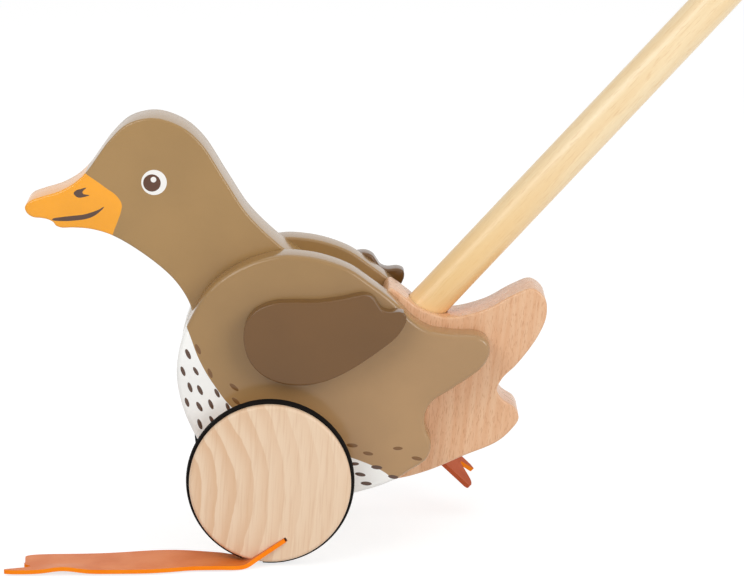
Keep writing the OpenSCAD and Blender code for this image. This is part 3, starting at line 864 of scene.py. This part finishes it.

# %% [markdown]
# The stick's box gives its direction: a round bar of length L and radius r fills a box of
# L cos a + 2 r sin a by L sin a + 2 r cos a, and a few rounds of dividing one by the other settle the
# angle. The stick's foot is painted warmer: a painted reflection of the tail's wood next to it.

# %% Stick
ANGLE_ROUNDS = 40
low, high = corners("push_stick")
STICK_R = float(high[1])
span = (high - low)[[0, 2]]
angle = np.arctan2(span[1], span[0])
for _ in range(ANGLE_ROUNDS):
    angle = np.arctan2(span[1] - 2 * STICK_R * np.cos(angle), span[0] - 2 * STICK_R * np.sin(angle))
stick_way = np.array([np.cos(angle), 0, np.sin(angle)])
stick_start = low + STICK_R * np.array([np.sin(angle), 1, np.cos(angle)])
stick_length = (span[0] - 2 * STICK_R * np.sin(angle)) / np.cos(angle)
STICK_TURN = (0, np.pi / 2 - angle, 0)
STICK = colour(253, 230, 188), colour(246, 216, 168), colour(232, 194, 142)
STICK_STREAK, STICK_PORE = (0.004, 0.004, 0.07), (0.0005, 0.0005, 0.006)
STICK_CHAMFER = 0.8
# Painted reflection: the warm tint that the tail's wood throws onto the stick's foot.
BOUNCE_TINT, BOUNCE_HEIGHTS, BOUNCE_SHARE = colour(242, 198, 128), (0.095, 0.165), 0.65

stick_wood = wood_finish("stick_wood", *STICK, STICK_TURN, STICK_STREAK, STICK_PORE)
tree = stick_wood.node_tree
wood_colour = tree.nodes["Principled BSDF"].inputs["Base Color"]
height = node(tree, "SeparateXYZ", {"Vector": node(tree, "TexCoord").outputs["Object"]}).outputs["Z"]
# Painted reflection: the stick's foot tinted towards the tail's wood, most at the lowest heights.
painted_bounce = spread(tree, height, *BOUNCE_HEIGHTS, BOUNCE_SHARE, 0.0)
tree.links.new(mix_colour(tree, painted_bounce, wood_colour.links[0].from_socket, BOUNCE_TINT), wood_colour)
stick_loops = spun(stick_start, stick_way, chamfered(stick_length, STICK_R, STICK_CHAMFER))
make_piece("stick", stick_loops, "duck_body", [stick_wood], ["push_stick"])
print("stick slope", round(float(np.degrees(angle)), 2), "length", round(float(stick_length), 1))

# %% [markdown]
# A ball knob closes the stick's far end. Its profile is part of a circle, from a small flat where the
# stick goes in to the tip.

# %% Knob
KNOB_FLAT = 11.0
KNOB_STEPS, KNOB_TIP = 40, 0.02
low, high = corners("knob")
KNOB_R = float(high[1])
open_angle = np.arcsin(KNOB_FLAT / KNOB_R)
polar = np.linspace(np.pi - open_angle, KNOB_TIP, KNOB_STEPS)
ball = [(KNOB_R * np.cos(polar[0]), STICK_R + GLUE_ROOM)]
ball += list(zip(KNOB_R * np.cos(polar), KNOB_R * np.sin(polar)))
knob_loops = spun((low + high) / 2, stick_way, ball)
knob_beech = wood_finish("knob_beech", *BEECH, STICK_TURN)
make_piece("ball_knob", knob_loops, "duck_body", [knob_beech], ["knob"])

# %% [markdown]
# The stick goes into a socket that is drilled in the tail, a hair wider than itself, so a thin dark gap
# shows round its foot. A Boolean modifier takes a plain cylinder out of the tail. The result becomes
# the tail's own mesh, and the cylinder is thrown away.

# %% Socket
SOCKET_GAP = 0.35
DRILL_LENGTH = 60.0
hole = [(-SOCKET_GAP, STICK_R + SOCKET_GAP), (DRILL_LENGTH, STICK_R + SOCKET_GAP)]
drill_mesh = closed_mesh("drill", spun(stick_start, stick_way, hole)[None], "caps")
drill = bpy.data.objects.new("drill", drill_mesh)
bpy.context.scene.collection.objects.link(drill)
cut = tail.modifiers.new("socket", "BOOLEAN")
cut.object, cut.solver = drill, "EXACT"
drilled = tail.evaluated_get(bpy.context.evaluated_depsgraph_get())
tail_mesh = bpy.data.meshes.new_from_object(drilled)
tail.modifiers.clear()
tail.data = tail_mesh
tail_mesh.set_sharp_from_angle(angle=SHARP)
bpy.data.objects.remove(drill)
bpy.data.meshes.remove(drill_mesh)
print("tail with its socket:", len(tail_mesh.vertices), "points")

# %% [markdown]
# ## Leather feet
# Each foot is one piece of orange leather. Its strap is glued in the wheel's slot, it bends where it
# leaves the rim, and its webbed end slaps the floor as the wheel turns. Top, cut edge and underside each
# have a finish of their own.

# %% Leather
LEATHER_CLOUD = (0.012,) * 3
PEBBLE_RISE = (0.0, 0.8)
ROUGHNESS_CHANGE = 0.1
TOP_COLOURS = colour(233, 128, 50), colour(224, 116, 43)
CUT_COLOURS = colour(255, 144, 26), colour(255, 134, 20)
# The underside's own colour, also used as painted shade on the feet's inner edges and toes.
UNDER_AND_SHADE_COLOURS = colour(192, 86, 38), colour(180, 76, 32)


def leather_finish(name, base, worn, roughness, grain, depth):
    """Leather: a colour that wanders a little, and a pebbled grain from cell distances."""
    material, tree, shader = new_finish(name)
    clouds = noise(tree, grain_place(tree, LEATHER_CLOUD), detail=4.0)
    mixed = mix_colour(tree, spread(tree, clouds, *NOISE_CORE), base, worn)
    tree.links.new(mixed, shader.inputs["Base Color"])
    pebbles = node(tree, "TexVoronoi", {"Vector": grain_place(tree, (grain,) * 3), "Scale": 1.0})
    height = spread(tree, pebbles.outputs["Distance"], *PEBBLE_RISE, 1.0, 0.0)
    rough = spread(tree, clouds, *NOISE_REACH, roughness, roughness + ROUGHNESS_CHANGE)
    tree.links.new(rough, shader.inputs["Roughness"])
    raise_surface(tree, shader, height, depth, strength=0.5)
    return material


leather_top = leather_finish("leather_top", *TOP_COLOURS, roughness=0.4, grain=0.0012, depth=0.05)
leather_cut = leather_finish("leather_cut", *CUT_COLOURS, roughness=0.7, grain=0.0006, depth=0.03)
leather_under_and_shade = leather_finish("leather_under_and_shade", *UNDER_AND_SHADE_COLOURS, roughness=0.7, grain=0.0008, depth=0.08)
cut_shader = leather_cut.node_tree.nodes["Principled BSDF"]
cut_shader.inputs["Specular IOR Level"].default_value = DULL
print("leathers:", leather_top.name, leather_cut.name, leather_under_and_shade.name)

# %% [markdown]
# The sheet is a grid: u runs from the strap's end to the toes, v from the inner to the outer edge. Its
# outline comes from four curves: the inner edge, the outer edge, and for each foot a toe line, which
# gives how long the leather is at each v, with a notch between two toes.

# %% Foot outlines
STRAP_GAP = 0.8
folds = {joint["name"]: joint["pos_m"] for joint in frame["joints"]}
fold_x = -folds["left_foot_flap"][0] / MM
bend_along = (TYRE_R - LEATHER / 2 - SLOT_OFF * np.cos(SLOT_TURN)) / np.sin(SLOT_TURN)
bend_x = bend_along * np.cos(SLOT_TURN) - SLOT_OFF * np.sin(SLOT_TURN)
STRAP_LENGTH = bend_along - SLOT_END - STRAP_GAP
FOLD_AT = STRAP_LENGTH + fold_x - bend_x
FOOT_LENGTH = -float(corners("left_foot")[0][0]) - fold_x
LEFT_TOES = [
    (0, 0.8), (0.03, 0.88), (0.1, 0.917), (0.25, 0.922), (0.45, 0.916), (0.62, 0.917), (0.72, 0.89),
    (0.79, 0.895), (0.86, 0.95), (0.92, 0.995), (0.95, 1), (0.98, 0.99), (1, 0.96),
]
RIGHT_TOES = [
    (0, 0.955), (0.03, 0.968), (0.1, 0.977), (0.2, 0.978), (0.32, 0.97), (0.45, 0.945), (0.58, 0.915),
    (0.68, 0.895), (0.76, 0.9), (0.85, 0.945), (0.92, 0.972), (0.96, 0.972), (1, 0.95),
]
INNER_EDGE = [(0, STRAP_IN), (20, STRAP_IN), (45, 33), (80, 32.8), (110, 33.2)]
OUTER_EDGE = [
    (0, WHEEL_OUT + 0.6), (STRAP_LENGTH - 4, WHEEL_OUT + 2.5), (FOLD_AT, 48.3), (38, 49.5), (46, 51.6),
    (54, 53.1), (73, 53.8), (92, 54), (110, 54),
]
print("strap", round(STRAP_LENGTH, 1), "to the fold", round(FOLD_AT, 1), "foot", round(FOOT_LENGTH, 1))

# %% [markdown]
# Heading, the slope of the leather, is given along its length, and adding up small steps in that
# direction gives the path, so the leather keeps its length. The top and the underside lie half the
# thickness to each side of that path, and a lift makes them wavy.

# %% Foot sheet
PATH_STEP, PATH_END = 0.1, 112
FOOT_ROWS, FOOT_COLUMNS = 220, 60


def ease(value, start, end):
    """Smooth step from 0 at start to 1 at end: the share's square, times 3 less twice the share."""
    share = np.clip((value - start) / (end - start), 0, 1)
    return share * share * (3 - 2 * share)


def hump(value, middle, half):
    """A bell of height 1: e to minus the square of the distance from the middle over half."""
    return np.exp(-((value - middle) / half) ** 2)


def curve_value(points, at):
    """Height of the smooth curve through the points at any place along it."""
    curve = smooth_curve(points, steps=12, closed=False)
    return np.interp(at, curve[:, 0], curve[:, 1])


def foot_loops(heading, lift, toes):
    """Cross-sections of the leather, each running out along its top and back along its underside.

    heading gives the downward slope in degrees at a length, and lift the height of a point over the
    path at a length and a share of the width.
    """
    length = np.arange(0, PATH_END, PATH_STEP)
    slope = np.radians(heading(length))
    start = -SLOT_OFF * SQUARE - (SLOT_END + STRAP_GAP) * ALONG
    path_x = start[0] - np.cumsum(np.cos(slope)) * PATH_STEP
    path_z = start[1] - np.cumsum(np.sin(slope)) * PATH_STEP
    u = np.linspace(0, 1, FOOT_ROWS)[:, None]
    v = (0.5 - 0.5 * np.cos(np.linspace(0, np.pi, FOOT_COLUMNS)))[None]
    s = u * (FOLD_AT + FOOT_LENGTH * curve_value(toes, v))
    inner, outer = curve_value(INNER_EDGE, s), curve_value(OUTER_EDGE, s)
    depth = inner + v * (outer - inner)
    x, z, tilt = (np.interp(s, length, values) for values in (path_x, path_z, slope))
    faces = []
    for half in (LEATHER / 2, -LEATHER / 2):
        rise = half + lift(s, v)
        faces.append(np.stack([x - rise * np.sin(tilt), -depth, AXLE_Z + z + rise * np.cos(tilt)], -1))
    return np.concatenate([faces[0], faces[1][:, ::-1]], 1)


# %% [markdown]
# The left foot lies on the floor, raised along its inner edge and rippled by its outer toe. The right
# foot is made like a left one and turned over to its own wheel, where it hangs down and droops. The
# outer edge and toe are bright where the leather is cut. The inner edge and toes get the darker
# underside finish as painted shade, where the body shades them.

# %% Feet
SLOPE = float(np.degrees(SLOT_TURN))
BEND_HALF = 3.0
STRAP_BEND = (STRAP_LENGTH - BEND_HALF, STRAP_LENGTH + BEND_HALF)
LIFT_STARTS = (STRAP_LENGTH, FOLD_AT + 6)
FLOOR_ROOM = 0.4
INNER_ROOM, INNER_RISE, INNER_PLACE = 0.1, 1.6, (46, 20)
RIPPLE, RIPPLE_PLACE, RIPPLE_WIDTH = 1.2, (86, 7), (0.55, 1)
HANG, HANG_STARTS = 34, (FOLD_AT - 2, FOLD_AT + 5)
DROOP, DROOP_STARTS = 10, (FOLD_AT + 4, FOLD_AT + 80)
INNER_TWIST, TWIST, TWIST_STARTS = 2.5, 3.2, (FOLD_AT + 5, FOLD_AT + 60)
TOP, CUT, UNDER_AND_SHADE = 0, 1, 2
# Painted shade: the share of the toe line, from the inner edge, that gets the darker underside finish.
SHADED_TOE = 0.55


def strap_heading(s):
    """The slope of the slot, eased to level where the strap leaves the wheel."""
    return SLOPE * (1 - ease(s, *STRAP_BEND))


def left_lift(s, v):
    """Room over the floor, a hump that fades away from the inner edge, and a ripple at the outer toe."""
    inner = (INNER_ROOM + INNER_RISE * hump(s, *INNER_PLACE)) * (1 - v)
    ripple = RIPPLE * hump(s, *RIPPLE_PLACE) * ease(v, *RIPPLE_WIDTH)
    return ease(s, *LIFT_STARTS) * (FLOOR_ROOM + inner + ripple)


def right_heading(s):
    """The strap's slope less two eased steps: the hang at the fold and the droop along the foot."""
    return strap_heading(s) - HANG * ease(s, *HANG_STARTS) - DROOP * ease(s, *DROOP_STARTS)


def right_lift(s, v):
    """A twist that grows along the foot, most at the inner edge and the other way at the outer one."""
    return (INNER_TWIST - TWIST * v) * ease(s, *TWIST_STARTS)


def make_foot(side, loops):
    """A foot piece from its loops, with its three finishes, in place of the imported strap and foot."""
    half = loops.shape[1] // 2
    # Painted shade: the inner cut edge and the inner toes take the darker underside finish.
    row = [TOP] * (half - 1) + [CUT] + [UNDER_AND_SHADE] * half
    toes = np.where(np.arange(half - 1) < SHADED_TOE * half, UNDER_AND_SHADE, CUT)
    faces = np.concatenate([np.tile(row, len(loops) - 1), np.full(half - 1, CUT), toes])
    finishes = [leather_top, leather_cut, leather_under_and_shade]
    replaced = [side + "_foot_strap", side + "_foot"]
    made = make_piece(
        side + "_leather", loops, None, finishes, replaced, "strips", faces,
    )
    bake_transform(made)


left_loops = foot_loops(strap_heading, left_lift, LEFT_TOES)
make_foot("left", left_loops)
right_loops = half_turn(foot_loops(right_heading, right_lift, RIGHT_TOES))
make_foot("right", right_loops)
